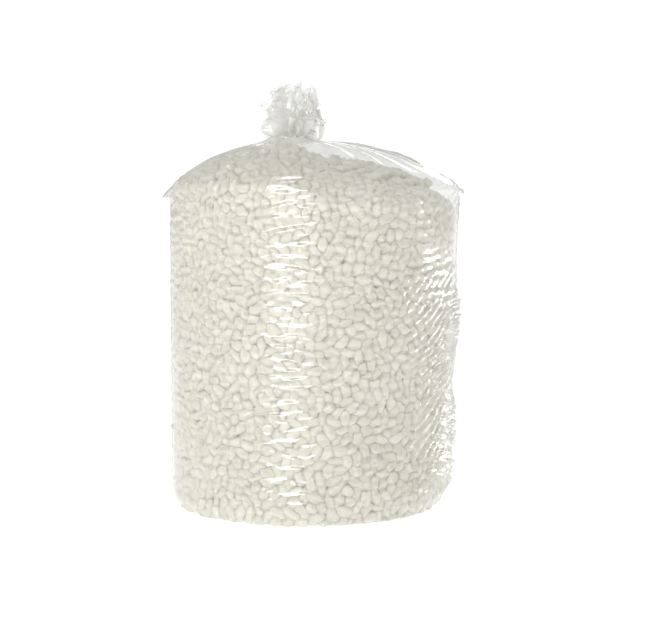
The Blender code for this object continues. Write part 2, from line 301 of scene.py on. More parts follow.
def field(shape, cells, seed):
    """Smooth random values from 0 to 1 over a grid that closes on itself round the bag."""
    rows, columns = shape
    cells_up, cells_round = cells
    lattice = np.random.default_rng(seed).random((cells_up + 2, cells_round))
    up = np.linspace(0.0, cells_up, rows)[:, None] * np.ones((1, columns))
    across = np.arange(columns)[None, :] * (cells_round / columns) * np.ones((rows, 1))
    low_up, low_across = np.floor(up).astype(int), np.floor(across).astype(int)
    share_up = smooth_step(up - low_up)
    share_across = smooth_step(across - low_across)
    left, right = low_across % cells_round, (low_across + 1) % cells_round
    lower = lattice[low_up, left] * (1 - share_across) + lattice[low_up, right] * share_across
    upper = lattice[low_up + 1, left] * (1 - share_across) + lattice[low_up + 1, right] * share_across
    return lower * (1 - share_up) + upper * share_up


def dome_ring(across, along):
    """The radius of the dome's leaning ring that passes over a place."""
    lean = (SHOULDER_LEAN - NECK_OFFSET) / SHOULDER_RADIUS
    offset = across - NECK_OFFSET
    inner = (lean * offset) ** 2 + (1.0 - lean * lean) * (offset ** 2 + along ** 2)
    return (np.sqrt(inner) - lean * offset) / (1.0 - lean * lean)


def dome_height(across, along):
    """Height of the smooth dome over a place."""
    ring = np.clip(dome_ring(across, along) / SHOULDER_RADIUS, 0.0, RING_LIMIT)
    return SHOULDER_HEIGHT + DOME_RISE * (1.0 - ring ** 2) ** DOME_POWER


def heap_height(across, along):
    """The peanuts reach the film on the left and lie lower on the right."""
    return dome_height(across, along) - HEAP_DROP * smooth_step(0.5 + across / HEAP_RUN)


def wall_share(height):
    """How far up the wall a height lies: 0 at the foot and 1 at the shoulder."""
    return (height - FLOOR_ROUND) / (SHOULDER_HEIGHT - FLOOR_ROUND)


def body_radius(height):
    """Radius of the wall, which widens a little towards the shoulder."""
    return BASE_RADIUS + (SHOULDER_RADIUS - BASE_RADIUS) * wall_share(height)


def body_centre(height):
    """How far the wall's axis leans to the right at a height."""
    return SHOULDER_LEAN * np.clip(wall_share(height), 0.0, 1.0)


def room_depths(points):
    """How deep points lie under the film's wall, under the heap's top and above the floor."""
    centre = body_centre(points[:, 2])
    out = np.hypot(points[:, 0] - centre, points[:, 1])
    low = np.clip(FLOOR_ROUND - points[:, 2], 0.0, FLOOR_ROUND)
    tuck = FLOOR_ROUND - np.sqrt(np.maximum(FLOOR_ROUND ** 2 - low ** 2, 0.0))
    wall = np.minimum(body_radius(points[:, 2]), SHOULDER_RADIUS) - tuck - out
    top = heap_height(points[:, 0], points[:, 1]) - points[:, 2]
    return wall, top, points[:, 2]


def close_pairs(beads, reach):
    """Index pairs of beads of two peanuts that lie within reach, from a sorted grid of cells."""
    cells = np.floor(beads / reach).astype(np.int64)
    cells -= cells.min(axis=0) - 1
    size = cells.max(axis=0) + 2
    keys = (cells[:, 0] * size[1] + cells[:, 1]) * size[2] + cells[:, 2]
    order = np.argsort(keys, kind="stable")
    ranked = keys[order]
    index = np.arange(len(beads))
    near = (-1, 0, 1)
    shifts = [(x * size[1] + y) * size[2] + z for x in near for y in near for z in near]
    firsts, seconds = [], []
    for shift in shifts:
        start = np.searchsorted(ranked, keys + shift, "left")
        count = np.searchsorted(ranked, keys + shift, "right") - start
        for step in range(int(count.max())):
            has = count > step
            other = order[start[has] + step]
            own = index[has]
            keep = own < other
            firsts.append(own[keep])
            seconds.append(other[keep])
    first, second = np.concatenate(firsts), np.concatenate(seconds)
    apart = first // 3 != second // 3
    within = np.linalg.norm(beads[first] - beads[second], axis=1) < reach
    return first[apart & within], second[apart & within]


def add_up(count, index, values):
    """The sum of the rows of values that belong to each index."""
    return np.stack([np.bincount(index, values[:, axis], count) for axis in range(3)], axis=1)


def loose_places(nodes):
    """Middle and long direction of each loose peanut of the solids."""
    centres, axes = [], []
    for node in nodes:
        points = np.array([vertex.co for vertex in node.data.vertices])
        middle = points.mean(axis=0)
        centres.append(middle)
        axes.append(np.linalg.svd(points - middle, full_matrices=False)[2][0])
    return np.array(centres), np.array(axes)


def scattered_peanuts(rng, half, radius):
    """Random places and directions in the shell under the film, before packing."""
    box_low = np.array([-SHOULDER_RADIUS, -SHOULDER_RADIUS, 0.0])
    box_high = np.array([SHOULDER_RADIUS + SHOULDER_LEAN, SHOULDER_RADIUS, NECK_FOOT])
    volume = np.prod(box_high - box_low)
    body = math.pi * radius ** 2 * 2.0 * half + 4.0 / 3.0 * math.pi * radius ** 3
    tries = int(volume * PACKING / body)
    centres = box_low + rng.random((tries, 3)) * (box_high - box_low)
    wall, top, floor = room_depths(centres)
    depth = np.minimum(np.minimum(wall, top), floor)
    centres = centres[(depth > SHELL_MARGIN) & (depth < SHELL_DEPTH + SHELL_MARGIN)]
    axes = rng.normal(size=centres.shape)
    axes /= np.linalg.norm(axes, axis=1)[:, None]
    return centres, axes


def moves_apart(beads, first, second):
    """Moves that push overlapping beads apart, gentler where many crowd one."""
    gap = beads[second] - beads[first]
    length = np.linalg.norm(gap, axis=1) + SMALL
    overlap = np.maximum(PEANUT_WIDTH - length, 0.0)
    push = gap * (0.5 * overlap / length)[:, None]
    touched = overlap > 0.0
    moves = add_up(len(beads), second, push) - add_up(len(beads), first, push)
    hits = np.bincount(first[touched], minlength=len(beads)).astype(float)
    hits += np.bincount(second[touched], minlength=len(beads))
    return moves * (CROWD_SHARE / np.maximum(hits, CROWD_SHARE))[:, None]


def heap_directions(beads):
    """The heap's upward direction over each bead, and how much its slope shortens a height."""
    east = heap_height(beads[:, 0] + SLOPE_STEP, beads[:, 1])
    north = heap_height(beads[:, 0], beads[:, 1] + SLOPE_STEP)
    here = heap_height(beads[:, 0], beads[:, 1])
    up = np.stack([(here - east) / SLOPE_STEP, (here - north) / SLOPE_STEP, np.ones(len(beads))], axis=1)
    length = np.linalg.norm(up, axis=1)
    return up / length[:, None], length


def moves_inward(beads, radius, drift):
    """Moves that keep beads inside the film and the heap, and with drift press them outwards."""
    wall, top, floor = room_depths(beads)
    out = np.stack([beads[:, 0] - body_centre(beads[:, 2]), beads[:, 1], np.zeros(len(beads))], axis=1)
    out /= np.linalg.norm(out, axis=1)[:, None] + SMALL
    up, length = heap_directions(beads)
    above = top / length
    moves = -out * np.maximum(radius + FILM_GAP - wall, 0.0)[:, None]
    moves -= up * np.maximum(radius + FILM_GAP - above, 0.0)[:, None]
    moves[:, 2] += np.maximum(radius + FLOOR_GAP - floor, 0.0)
    if drift:
        moves += out * (DRIFT * ((wall > radius) & (wall < above) & (wall < floor)))[:, None]
        moves += up * (DRIFT * ((above > radius) & (above <= wall) & (above < floor)))[:, None]
        moves[:, 2] -= DRIFT * ((floor > radius) & (floor <= wall) & (floor <= above))
    return moves


def settle_peanuts(fixed_centres, fixed_axes):
    """Packs peanuts, each as three beads in a row, round the loose ones of the solids."""
    radius = 0.5 * PEANUT_WIDTH
    half = 0.5 * (PEANUT_LENGTH - PEANUT_WIDTH)
    centres, axes = scattered_peanuts(np.random.default_rng(PACK_SEED), half, radius)
    centres = np.concatenate([fixed_centres, centres])
    axes = np.concatenate([fixed_axes, axes])
    steps = np.array([-half, 0.0, half])
    rounds = PACK_ROUNDS
    for turn in range(rounds):
        beads = (centres[:, None, :] + axes[:, None, :] * steps[None, :, None]).reshape(-1, 3)
        if turn % SEARCH_EVERY == 0:
            first, second = close_pairs(beads, PEANUT_WIDTH * SEARCH_REACH)
        moves = moves_apart(beads, first, second)
        moves += moves_inward(beads, radius, turn < rounds - STILL_ROUNDS)
        moves = moves.reshape(len(centres), 3, 3)
        moves[:len(fixed_centres)] = 0.0
        centres = centres + moves.mean(axis=1)
        axes = axes * (2.0 * half) + TURN_SHARE * (moves[:, 2] - moves[:, 0])
        axes /= np.linalg.norm(axes, axis=1)[:, None]
    return centres, axes


def turns_along(axes, rng):
    """Quaternions that turn +X to each axis, after a random roll about it."""
    start = np.array([1.0, 0.0, 0.0])
    cross = np.cross(start, axes)
    turn = np.concatenate([1.0 + axes[:, :1], cross], axis=1)
    turn /= np.linalg.norm(turn, axis=1)[:, None] + TINY
    roll = rng.random(len(axes)) * math.pi
    w, x = np.cos(roll), np.sin(roll)
    return np.stack([turn[:, 0] * w - turn[:, 1] * x, turn[:, 0] * x + turn[:, 1] * w,
                     turn[:, 2] * w + turn[:, 3] * x, turn[:, 3] * w - turn[:, 2] * x], axis=1)


class Tree:
    """A node tree under construction: nodes by kind, with values or links for their inputs."""

    def __init__(self, tree):
        self.tree = tree

    def node(self, kind, settings=None, **inputs):
        """A new node with its settings, and its inputs by name, with _ for each blank."""
        node = self.tree.nodes.new(kind)
        for name, value in (settings or {}).items():
            setattr(node, name, value)
        for name, value in inputs.items():
            self.put(node, name.replace("_", " "), value)
        return node

    def put(self, node, name, value):
        """Sets or links an input, which goes by its name, or as i0, i1 and so on by its place."""
        by_place = name[0] == "i" and name[1:].isdigit()
        socket = node.inputs[int(name[1:]) if by_place else name]
        if isinstance(value, bpy.types.NodeSocket):
            self.tree.links.new(value, socket)
        elif isinstance(value, bpy.types.Node):
            self.tree.links.new(value.outputs[0], socket)
        else:
            socket.default_value = value

    def combine(self, operation, first, second=0.0):
        """The result of a Math node."""
        return self.node("ShaderNodeMath", {"operation": operation}, i0=first, i1=second).outputs[0]


def peanut_group():
    """An empty tree of Geometry Nodes with the inputs of a peanut."""
    group = bpy.data.node_groups.new("peanuts_on_points", "GeometryNodeTree")
    group.is_modifier = True
    face = group.interface
    face.new_socket("Geometry", in_out="INPUT", socket_type="NodeSocketGeometry")
    for name in ("Peanut Length", "Peanut Width", "Waist", "Bend", "Lump Height", "Lump Scale"):
        face.new_socket(name, in_out="INPUT", socket_type="NodeSocketFloat")
    for name in ("Rings", "Sides"):
        face.new_socket(name, in_out="INPUT", socket_type="NodeSocketInt")
    face.new_socket("Foam", in_out="INPUT", socket_type="NodeSocketMaterial")
    face.new_socket("Geometry", in_out="OUTPUT", socket_type="NodeSocketGeometry")
    return group


def peanut_line(build, given, angle):
    """The peanut's middle line along X, bent aside one way and then the other."""
    line = build.node("GeometryNodeCurvePrimitiveLine", Start=(0, 0, 0), End=(1, 0, 0))
    points = build.node("GeometryNodeResampleCurve", Curve=line, Count=given["Rings"])
    reach = build.combine("MULTIPLY", build.combine("COSINE", angle), -0.5)
    along = build.combine("MULTIPLY", reach, given["Peanut Length"])
    swing = build.combine("SINE", build.combine("MULTIPLY", angle, 2.0))
    bend = build.combine("MULTIPLY", swing, given["Bend"])
    aside = build.combine("MULTIPLY", bend, given["Peanut Width"])
    middle = build.node("ShaderNodeCombineXYZ", X=along, Y=aside)
    return build.node("GeometryNodeSetPosition", Geometry=points, Position=middle)


def peanut_radius(build, given, angle):
    """The peanut's radius along its middle line: round ends and a waist."""
    swell = build.combine("MAXIMUM", build.combine("SINE", angle), TIP_SHARE)
    waist = build.combine("MULTIPLY", build.combine("POWER", swell, WAIST_POWER), given["Waist"])
    ends = build.combine("POWER", swell, END_POWER)
    plump = build.combine("MULTIPLY", ends, build.combine("SUBTRACT", 1.0, waist))
    width = build.combine("MULTIPLY", plump, given["Peanut Width"])
    return build.combine("MULTIPLY", width, 0.5)


def peanut_skin(build, given):
    """One smooth foam peanut: a bent line with thickness, closed at both ends."""
    place = build.node("GeometryNodeSplineParameter").outputs["Index"]
    last = build.combine("SUBTRACT", given["Rings"], 1.0)
    angle = build.combine("MULTIPLY", build.combine("DIVIDE", place, last), math.pi)
    circle = build.node("GeometryNodeCurvePrimitiveCircle", Resolution=given["Sides"], Radius=1.0)
    return build.node("GeometryNodeCurveToMesh", Curve=peanut_line(build, given, angle),
                      Profile_Curve=circle, Scale=peanut_radius(build, given, angle), Fill_Caps=True)


def lumpy_skin(build, given, real):
    """Moves the peanuts' skin in and out by a noise, so that no two are alike."""
    where = build.node("GeometryNodeInputPosition")
    noise = build.node("ShaderNodeTexNoise", Vector=where, Scale=given["Lump Scale"], Detail=1.0)
    level = build.combine("SUBTRACT", noise.outputs[0], 0.5)
    rise = build.combine("MULTIPLY", level, given["Lump Height"])
    outward = build.node("GeometryNodeInputNormal")
    lift = build.node("ShaderNodeVectorMath", {"operation": "SCALE"}, Vector=outward, Scale=rise)
    return build.node("GeometryNodeSetPosition", Geometry=real, Offset=lift.outputs[0])


def peanut_tree():
    """Places one foam peanut on each point of a mesh, with the point's turn and size."""
    group = peanut_group()
    build = Tree(group)
    given = group.nodes.new("NodeGroupInput").outputs
    turn = build.node("GeometryNodeInputNamedAttribute", {"data_type": "QUATERNION"}, Name="turn")
    size = build.node("GeometryNodeInputNamedAttribute", {"data_type": "FLOAT_VECTOR"}, Name="size")
    many = build.node("GeometryNodeInstanceOnPoints", Points=given["Geometry"],
                      Instance=peanut_skin(build, given), Rotation=turn.outputs[0], Scale=size.outputs[0])
    real = build.node("GeometryNodeRealizeInstances", Geometry=many)
    smooth = build.node("GeometryNodeSetShadeSmooth", Geometry=lumpy_skin(build, given, real))
    done = build.node("GeometryNodeSetMaterial", Geometry=smooth, Material=given["Foam"])
    out = group.nodes.new("NodeGroupOutput")
    group.links.new(done.outputs[0], out.inputs[0])
    return group


def set_inputs(modifier, values):
    """Gives a Geometry Nodes modifier its values by the names of its inputs."""
    for item in modifier.node_group.interface.items_tree:
        if item.item_type == "SOCKET" and item.in_out == "INPUT" and item.name in values:
            modifier[item.identifier] = values[item.name]


def add_piece(name, mesh):
    """A new object of the scene."""
    piece = bpy.data.objects.new(name, mesh)
    bpy.context.scene.collection.objects.link(piece)
    return piece


def point_attribute(mesh, name, kind, values):
    """Stores one value, vector or quaternion for each vertex."""
    layer = mesh.attributes.new(name, kind, "POINT")
    key = "value" if kind in {"FLOAT", "QUATERNION"} else "vector"
    layer.data.foreach_set(key, np.asarray(values, np.float32).ravel())


def vertex_places(mesh):
    """The places of a mesh's vertices, one row each."""
    places = np.empty(len(mesh.vertices) * 3, np.float32)
    mesh.vertices.foreach_get("co", places)
    return places.reshape(-1, 3)


def peanut_points(name, centres, axes, rng):
    """A mesh of bare points that carry each peanut's turn, size and tone."""
    mesh = bpy.data.meshes.new(name)
    mesh.from_pydata(centres.tolist(), [], [])
    point_attribute(mesh, "turn", "QUATERNION", turns_along(axes, rng))
    size = PEANUT_SWELL * (1.0 + rng.uniform(-SIZE_SPREAD, SIZE_SPREAD, (len(centres), 3)))
    point_attribute(mesh, "size", "FLOAT_VECTOR", size)
    point_attribute(mesh, "tone", "FLOAT", rng.random(len(centres)))
    return mesh


def press_on_floor(mesh):
    """Flattens peanuts that would reach through the bag's floor."""
    places = vertex_places(mesh)
    places[:, 2] = np.maximum(places[:, 2], FLOOR_GAP)
    mesh.vertices.foreach_set("co", places.ravel())


def peanuts_piece(name, tree, foam, points, form):
    """A plain mesh of peanuts of one form, one at each point."""
    holder = add_piece(name + "_points", points)
    modifier = holder.modifiers.new("peanuts", "NODES")
    modifier.node_group = tree
    waist, bend = form
    set_inputs(modifier, {"Peanut Length": PEANUT_LENGTH, "Peanut Width": PEANUT_WIDTH,
                          "Waist": waist, "Bend": bend, "Rings": PEANUT_RINGS,
                          "Sides": PEANUT_SIDES, "Lump Height": 2.0 * LUMP_HEIGHT,
                          "Lump Scale": LUMP_SCALE, "Foam": foam})
    graph = bpy.context.evaluated_depsgraph_get()
    made = bpy.data.meshes.new_from_object(holder.evaluated_get(graph))
    made.name = name
    press_on_floor(made)
    bpy.data.objects.remove(holder)
    for extra in ("turn", "size"):
        if extra in made.attributes:
            made.attributes.remove(made.attributes[extra])
    return add_piece(name, made)


def film_profile():
    """Radius, height and centre of the smooth film in fine steps, from floor to neck."""
    flat = BASE_RADIUS - FLOOR_ROUND
    steps = np.linspace(FLOOR_START, 1.0, FLOOR_STEPS)[:-1]
    floor = (flat * steps, 0.0 * steps, 0.0 * steps)
    angle = np.linspace(0.0, 0.5 * math.pi, ROUND_STEPS)[:-1]
    foot = (flat + FLOOR_ROUND * np.sin(angle), FLOOR_ROUND * (1.0 - np.cos(angle)), 0.0 * angle)
    level = np.linspace(FLOOR_ROUND, SHOULDER_HEIGHT, WALL_STEPS)[:-1]
    wall = (body_radius(level), level, body_centre(level))
    angle = np.linspace(0.0, DOME_END, DOME_STEPS)
    share = np.cos(angle)
    dome = (SHOULDER_RADIUS * share,
            SHOULDER_HEIGHT + DOME_RISE * np.sin(angle) ** (2.0 * DOME_POWER),
            NECK_OFFSET + (SHOULDER_LEAN - NECK_OFFSET) * share)
    last_radius, last_height, last_centre = (part[-1] for part in dome)
    angle = np.linspace(0.0, 0.5 * math.pi, ROUND_STEPS)[1:]
    neck = (last_radius + (NECK_RADIUS - last_radius) * np.sin(angle),
            last_height + (NECK_TOP - last_height) * (1.0 - np.cos(angle)),
            last_centre + (NECK_OFFSET - last_centre) * np.sin(angle))
    return [np.concatenate(part) for part in zip(floor, foot, wall, dome, neck)]


def meridian():
    """Radius, height, centre and outward direction of the smooth film's rows."""
    radius, height, centre = film_profile()
    run = np.concatenate([[0.0], np.cumsum(np.hypot(np.diff(radius), np.diff(height)))])
    floor_run = run[np.argmax(height > 0.0)]
    rows = np.concatenate([np.linspace(0.0, floor_run, HELD_ROWS)[:-1],
                           np.arange(floor_run, run[-1], ROW_STEP), run[-1:]])
    radius, height, centre = (np.interp(rows, run, part) for part in (radius, height, centre))
    across, along = np.gradient(radius), np.gradient(height)
    length = np.hypot(across, along) + TINY
    return radius, height, centre, along / length, -across / length


def sheet_grid(radius, height, centre, angle):
    """Points of the smooth film, row by row and round each row."""
    grid = np.empty((len(radius), FILM_SIDES, 3))
    grid[:, :, 0] = centre[:, None] + radius[:, None] * np.cos(angle)
    grid[:, :, 1] = radius[:, None] * np.sin(angle)
    grid[:, :, 2] = height[:, None]
    return grid


def peanut_surface(grid, normal, pieces):
    """How far the peanuts reach out along each film point's normal: below zero is inside."""
    points, faces = [], []
    for piece in pieces:
        mesh = piece.data
        mesh.calc_loop_triangles()
        triangles = np.empty(len(mesh.loop_triangles) * 3, np.int32)
        mesh.loop_triangles.foreach_get("vertices", triangles)
        faces.extend((triangles.reshape(-1, 3) + len(points)).tolist())
        points.extend(vertex_places(mesh).tolist())
    tree = BVHTree.FromPolygons(points, faces)
    start, away, deepest = 0.03, 0.09, -0.06
    reach = np.full(grid.shape[:2], deepest)
    for row in range(grid.shape[0]):
        for side in range(grid.shape[1]):
            direction = Vector(normal[row, side])
            hit = tree.ray_cast(Vector(grid[row, side]) + direction * start, -direction, away)[3]
            if hit is not None:
                reach[row, side] = start - hit
    return reach


def link_lengths(grid):
    """Lengths of the film's links: up, round and along both slants."""
    up = np.linalg.norm(grid[1:] - grid[:-1], axis=2)
    around = np.linalg.norm(np.roll(grid, -1, axis=1) - grid, axis=2)
    slants = [np.linalg.norm(np.roll(grid[1:], -step, axis=1) - grid[:-1], axis=2) for step in SLANTS]
    return up, around, slants


def link_pull(links, rest, share):
    """Moves along each link, by a share of what it is longer than its own length."""
    length = np.linalg.norm(links, axis=2)
    return links * (share * (length - rest) / (length + SMALL))[..., None]


def pull_to_lengths(grid, rest):
    """Moves that bring each link of the film nearer to its own length."""
    rest_up, rest_round, rest_slants = rest
    move = np.zeros_like(grid)
    pull = link_pull(grid[1:] - grid[:-1], rest_up, LINK_PULL)
    move[:-1] += pull
    move[1:] -= pull
    pull = link_pull(np.roll(grid, -1, axis=1) - grid, rest_round, LINK_PULL)
    move += pull - np.roll(pull, 1, axis=1)
    for step, rest_slant in zip(SLANTS, rest_slants):
        pull = link_pull(np.roll(grid[1:], -step, axis=1) - grid[:-1], rest_slant, SLANT_PULL)
        move[:-1] += pull
        move[1:] -= np.roll(pull, step, axis=1)
    return move


def bend_moves(grid, share):
    """Moves that even out the film's bends."""
    move = np.zeros_like(grid)
    move[1:-1] += share * (0.5 * (grid[:-2] + grid[2:]) - grid[1:-1])
    move += share * (0.5 * (np.roll(grid, 1, axis=1) + np.roll(grid, -1, axis=1)) - grid)
    return move


def relax_step(grid, rest, evening):
    """The film a step nearer to its own lengths, with its bends evened out."""
    return grid + RELAX_SHARE * (pull_to_lengths(grid, rest) + bend_moves(grid, evening))


def relax_film(grid, base, normal, reach, rest):
    """Draws the film to its own lengths and keeps it outside the peanuts and off the floor."""
    held = grid[:HELD_ROWS].copy()
    for _ in range(FILM_ROUNDS):
        grid = relax_step(grid, rest, FILM_EVENING)
        out = ((grid - base) * normal).sum(axis=2)
        grid += normal * np.maximum(reach + FILM_CLEARANCE - out, 0.0)[..., None]
        grid[..., 2] = np.maximum(grid[..., 2], FILM_LIFT)
        grid[:HELD_ROWS] = held
    return grid


def side_share(facing):
    """Which part of the wall belongs to a side: 1 where it faces that way, 0 in front and behind."""
    return smooth_step(SIDE_GAIN * facing - SIDE_CUT)


def crossing_wrinkles(place, angle):
    """Fine waves that cross each other, each set in patches of its own."""
    shape = (len(place), FILM_SIDES)
    lift = np.zeros(shape)
    for turns, stretch, seed in WRINKLE_SETS:
        bend = WRINKLE_WANDER * field(shape, WRINKLE_CELLS, seed)
        bend += WRINKLE_SHIVER * field(shape, SHIVER_CELLS, seed + 1)
        wave = np.sin(2.0 * math.pi * place / (stretch * WRINKLE_PITCH) + turns * angle + bend)
        patches = smooth_step(PATCH_GAIN * field(shape, PATCH_CELLS, seed + 2) - PATCH_CUT)
        lift += WRINKLE_HEIGHT * stretch * (0.5 + 0.5 * wave) * patches
    return lift


def slack_share(angle):
    """How slack the film is round the bag: most on the right, not at all on the left."""
    return smooth_step(SLACK_BASE + SLACK_REACH * np.cos(angle))


def slanted_folds(place, angle, upper):
    """Folds of the slack film that slant down from its right edge, fainter in the upper half."""
    shape = (len(place), FILM_SIDES)
    turned = (angle + math.pi) % (2.0 * math.pi) - math.pi
    from_right = np.sqrt(turned ** 2 + EDGE_SOFTENING) * SHOULDER_RADIUS
    bend = SLACK_WANDER * field(shape, *SLACK_BEND_FIELD)
    bend += SLACK_SHIVER * field(shape, *SLACK_SHIVER_FIELD)
    wave = np.sin(2.0 * math.pi * (place + SLACK_SLANT * from_right) / SLACK_PITCH + bend)
    ridge = 1.0 - np.abs(wave) ** SLACK_POWER
    depth = smooth_step(SLACK_GAIN * field(shape, *SLACK_DEPTH_FIELD) - SLACK_CUT)
    return SLACK_HEIGHT * ridge * depth * slack_share(angle) * (1.0 - SLACK_FADE * upper)


def slack_sway(place, angle):
    """Broad hollows and swells of the slack film."""
    swells = field((len(place), FILM_SIDES), *SLACK_SWAY_FIELD)
    return SLACK_SWAY * SLACK_HEIGHT * swells * slack_share(angle)


def wall_folds(run, angle, on_wall):
    """How far the wall's film stands out from the smooth one."""
    place = np.linspace(0.0, run, len(on_wall))[:, None]
    upper = smooth_step((place / run - UPPER_START) / UPPER_RUN)
    left_side = side_share(-np.cos(angle))
    right_side = side_share(np.cos(angle))
    lift = crossing_wrinkles(place, angle)
    lift *= 1.0 - LEFT_CALM * left_side - right_side * (RIGHT_CALM + UPPER_CALM * upper)
    lift += CLEAR_HEIGHT * right_side
    lift = lift + slanted_folds(place, angle, upper)
    lift = lift + slack_sway(place, angle)
    return lift * on_wall[:, None]


def dome_folds(radius, angle, on_dome):
    """Pleats of the gathered dome: they start near the shoulder and crowd towards the neck."""
    shape = (len(radius), FILM_SIDES)
    right = np.maximum(np.cos(angle), 0.0)
    wander = GATHER_WANDER * field(shape, *GATHER_BEND_FIELD)
    ridge = 1.0 - np.abs(np.sin(0.5 * (GATHER_PLEATS * angle + wander))) ** GATHER_POWER
    strength = GATHER_LEAST + (1.0 - GATHER_LEAST) * field(shape, *GATHER_DEPTH_FIELD)
    pitch = 2.0 * math.pi * radius / GATHER_PLEATS
    gather = smooth_step(GATHER_GROWTH * (1.0 - radius / SHOULDER_RADIUS)) * on_dome
    folds = ridge * strength * (GATHER_DEPTH * pitch * gather)[:, None] * (1.0 + right)
    left = np.maximum(-np.cos(angle), 0.0) ** 3
    near_neck = np.exp(-((radius - WEB_RADIUS) / WEB_SPREAD) ** 2) * on_dome
    return folds + WEB_HEIGHT * left * near_neck[:, None]


def edge_folds(grid, height, angle):
    """Draws out the flat tube's two edge creases, and the ear in which each ends at the shoulder."""
    ear = np.maximum(1.0 - np.abs(height - SHOULDER_HEIGHT + EAR_BELOW) / EAR_HALF_HEIGHT, 0.0)
    fade = 1.0 - smooth_step((height - SHOULDER_HEIGHT) / DOME_RISE)
    start = smooth_step((height - FOLD_START) / EDGE_RUN)
    for side, length in ((0.0, 0.5 * EAR_LENGTH), (math.pi, EAR_LENGTH)):
        away = np.abs((angle - side + math.pi) % (2.0 * math.pi) - math.pi)
        near_edge = np.exp(-(away / EDGE_WIDTH) ** 2)
        rise = EDGE_CREASE * fade * start + length * ear
        grid[..., 0] += math.cos(side) * rise[:, None] * near_edge[None, :]
        drop = EAR_DROP * length / EAR_LENGTH * ear
        grid[..., 2] -= drop[:, None] * near_edge[None, :]


def main_film(pieces):
    """The film from the floor to the neck."""
    radius, height, centre, out, up = meridian()
    angle = directions(FILM_SIDES)
    base = sheet_grid(radius, height, centre, angle)
    normal = np.stack([out[:, None] * np.cos(angle), out[:, None] * np.sin(angle),
                       up[:, None] * np.ones(FILM_SIDES)], axis=2)
    reach = peanut_surface(base, normal, pieces)
    run = np.hypot(np.diff(radius), np.diff(height)).sum()
    above = (height - SHOULDER_HEIGHT) / FOLD_RUN
    on_wall = smooth_step((height - FOLD_START) / FOLD_RUN) * (1.0 - smooth_step(above))
    on_dome = smooth_step(above + DOME_EARLY)
    lift = wall_folds(run, angle, on_wall) + dome_folds(radius, angle, on_dome)
    shaped = base + normal * lift[..., None]
    edge_folds(shaped, height, angle)
    grid = shaped + normal * np.maximum(reach + FILM_CLEARANCE - lift, 0.0)[..., None]
    return relax_film(grid, base, normal, reach, link_lengths(shaped))


def ruffle_reach(angle, rise):
    """How far the ruffle's ridges stand out from the neck's axis, by direction and height."""
    left = np.maximum(-np.cos(angle), 0.0) ** 2
    right = np.maximum(np.cos(angle), 0.0) ** 2
    widest = RUFFLE_FRONT + (RUFFLE_LEFT - RUFFLE_FRONT) * left + (RUFFLE_RIGHT - RUFFLE_FRONT) * right
    opening = smooth_step(rise / OPENING_RUN)
    closing_depth = CLOSING_DEPTH - CLOSING_LESS_LEFT * left
    closing = 1.0 - closing_depth * smooth_step((rise - CLOSING_START) / CLOSING_RUN)
    return NECK_RADIUS + (widest - NECK_RADIUS) * opening * closing


def ruffle_rim(angle):
    """Height of the ruffle's rim: high in the middle, lower to the left and to the right."""
    left = np.maximum(-np.cos(angle), 0.0) ** 4
    right = np.maximum(np.cos(angle), 0.0) ** 4
    return RUFFLE_HEIGHT * (1.0 - RIM_DROP_LEFT * left - RIM_DROP_RIGHT * right)


def pleat_ridges(rise, angle):
    """The ruffle's pleats: 1 on each ridge and 0 in each valley."""
    wander = field(RUFFLE_SHAPE, *PLEAT_BEND_FIELD) - 0.5
    wave = np.sin(RUFFLE_PLEATS * angle + PLEAT_WANDER * wander * (FOOT_WANDER + rise))
    return 0.5 + 0.5 * np.sign(wave) * np.abs(wave) ** PLEAT_POWER


def ruffle_spread(rise, angle, ridge):
    """How far the pleated ruffle stands out from the neck's axis."""
    strength = PLEAT_LEAST + PLEAT_MORE * field(RUFFLE_SHAPE, *PLEAT_DEPTH_FIELD)
    strength = strength * (BUNCH_LEAST + BUNCH_MORE * field(RUFFLE_SHAPE, *BUNCH_FIELD))
    valley = NECK_RADIUS * VALLEY_SHARE + VALLEY_GROWTH * smooth_step(VALLEY_RISE * rise)
    return valley + (ruffle_reach(angle, rise) * strength - valley) * ridge


def ruffle_heights(rise, angle, ridge):
    """Heights of the ruffle's points: valleys reach the top, and the lowest ridges sag."""
    rim = ruffle_rim(angle)
    top = rim + (RUFFLE_HEIGHT - rim) * (1.0 - ridge)
    top = top * (1.0 - RIM_RAGGED * field(RUFFLE_SHAPE, *RIM_FIELD))
    lowest = np.exp(-((rise - SAG_MIDDLE) / SAG_SPREAD) ** 2)
    sag = lowest * ridge * (SAG_LEAST + field(RUFFLE_SHAPE, *SAG_FIELD))
    return NECK_TOP + top * rise - SAG_DEPTH * sag * smooth_step(rise / SAG_START)


def crumple(grid, rise):
    """Crumples the ruffle above its foot, coarsely and finely."""
    free = smooth_step(CRUMPLE_RISE * rise)[..., None]
    for cells, size, seed in CRUMPLES:
        grid_cells = (cells, CRUMPLE_CELLS_ROUND * cells)
        fields = [field(RUFFLE_SHAPE, grid_cells, seed + axis) for axis in range(3)]
        shake = np.abs(2.0 * np.stack(fields, axis=2) - 1.0)
        grid += size * free * (shake - 0.5)


